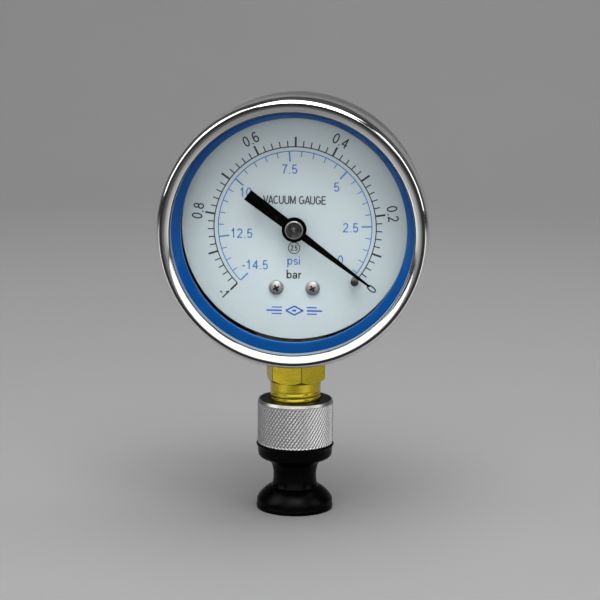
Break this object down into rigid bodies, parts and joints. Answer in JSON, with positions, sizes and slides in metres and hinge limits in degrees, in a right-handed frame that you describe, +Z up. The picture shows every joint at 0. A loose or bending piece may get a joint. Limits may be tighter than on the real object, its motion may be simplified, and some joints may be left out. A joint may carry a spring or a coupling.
{
  "type": "vacuum gauge",
  "caption": "Round dial vacuum gauge with a blue inner ring, standing on a brass stem, a knurled collar and a waisted rubber foot with a hollow needle.",
  "frame": {"origin": "centre of the rubber foot's sealing face, on the stem's axis", "axes": "+Z up the stem to the gauge head, +Y out of the back of the case, so the dial faces -Y, +X to the right of the dial"},
  "size_m": [0.0684, 0.0337, 0.1103],
  "materials": {
    "satin_stainless": "drawn sheet, satin",
    "polished_stainless": "mirror polished",
    "window_glass": "clear flat glass",
    "pale_gasket": "pale translucent",
    "blue_plastic": "glossy moulded",
    "dial_paint": "pale satin enamel with printed scales",
    "bright_steel": "nickel plated",
    "grey_rubber": "matt",
    "brass": "machined",
    "bronze": "drawn tube",
    "pointer_black": "satin black",
    "dark_steel": "dark turned",
    "washer_rubber": "smooth",
    "knurled_aluminium": "diamond knurl",
    "black_rubber": "soft sheen"
  },
  "bodies": {
    "gauge": {"case": "satin_stainless", "bezel": "polished_stainless", "window": "window_glass", "window_gasket": "pale_gasket", "dial_ring": "blue_plastic", "dial_plate": "dial_paint", "dial_screws": "bright_steel", "stop_pin": "bright_steel", "relief_plug": "grey_rubber", "case_screws": "bright_steel", "socket": "brass", "restrictor": "brass", "bourdon_tube": "bronze", "front_plate": "brass", "back_plate": "brass", "plate_pillars": "brass", "movement_screws": "bright_steel", "dial_posts": "brass", "hairspring": "bronze", "hairspring_stud": "brass"},
    "pointer_shaft": {"pointer": "pointer_black", "pointer_cap": "dark_steel", "pointer_pinion": "brass"},
    "sector": {"sector_gear": "brass", "sector_arbor": "bright_steel", "link_pin": "bright_steel"},
    "link": {"link": "bright_steel"},
    "tube_tip": {"tube_tip": "brass", "tip_pin": "bright_steel"},
    "stem_washer": {"stem_washer": "washer_rubber"},
    "adapter": {"knurled_collar": "knurled_aluminium", "needle_holder": "brass", "holder_washer": "pale_gasket", "piercing_needle": "bright_steel", "seal_flange": "black_rubber", "seal_neck": "black_rubber"},
    "foot": {"seal_foot": "black_rubber"}
  },
  "joints": [
    {"name": "pointer_spin", "type": "hinge", "parent": "gauge", "child": "pointer_shaft", "pos_m": [0, 0, 0.076], "axis": [0, -1, 0], "range_deg": [0, 261.5], "stiffness_Nm_per_rad": 0.00002, "springref_deg": -17.19, "deforming": ["hairspring"]},
    {"name": "sector_swing", "type": "hinge", "parent": "gauge", "child": "sector", "pos_m": [0, 0, 0.0625], "axis": [0, -1, 0], "range_deg": [-32.7, 0]},
    {"name": "link_swing", "type": "hinge", "parent": "sector", "child": "link", "pos_m": [0.00283, 0, 0.05967], "axis": [0, -1, 0], "range_deg": [0, 30.7]},
    {"name": "tube_flex", "type": "hinge", "parent": "gauge", "child": "tube_tip", "pos_m": [-0.0021, 0, 0.082], "axis": [0, -1, 0], "range_deg": [-5.3, 0], "deforming": ["bourdon_tube"]},
    {"name": "adapter_travel", "type": "slide", "parent": "gauge", "child": "stem_washer", "axis": [0, 0, -1], "range_m": [0, 0.00535]},
    {"name": "adapter_turn", "type": "hinge", "parent": "stem_washer", "child": "adapter", "pos_m": [0, 0, 0], "axis": [0, 0, -1], "range_deg": [0, 1440]},
    {"name": "seal_press", "type": "slide", "parent": "adapter", "child": "foot", "axis": [0, 0, 1], "range_m": [0, 0.004], "stiffness_N_per_m": 6000, "springref_m": -0.0008, "deforming": ["seal_neck"]}
  ],
  "couplings": [
    {"joint": "sector_swing", "follows": "pointer_spin", "ratio": -0.125},
    {"joint": "link_swing", "follows": "pointer_spin", "ratio": 0.11714},
    {"joint": "tube_flex", "follows": "pointer_spin", "ratio": -0.020149},
    {"joint": "adapter_turn", "follows": "adapter_travel", "rad_per_m": 4699.5}
  ]
}
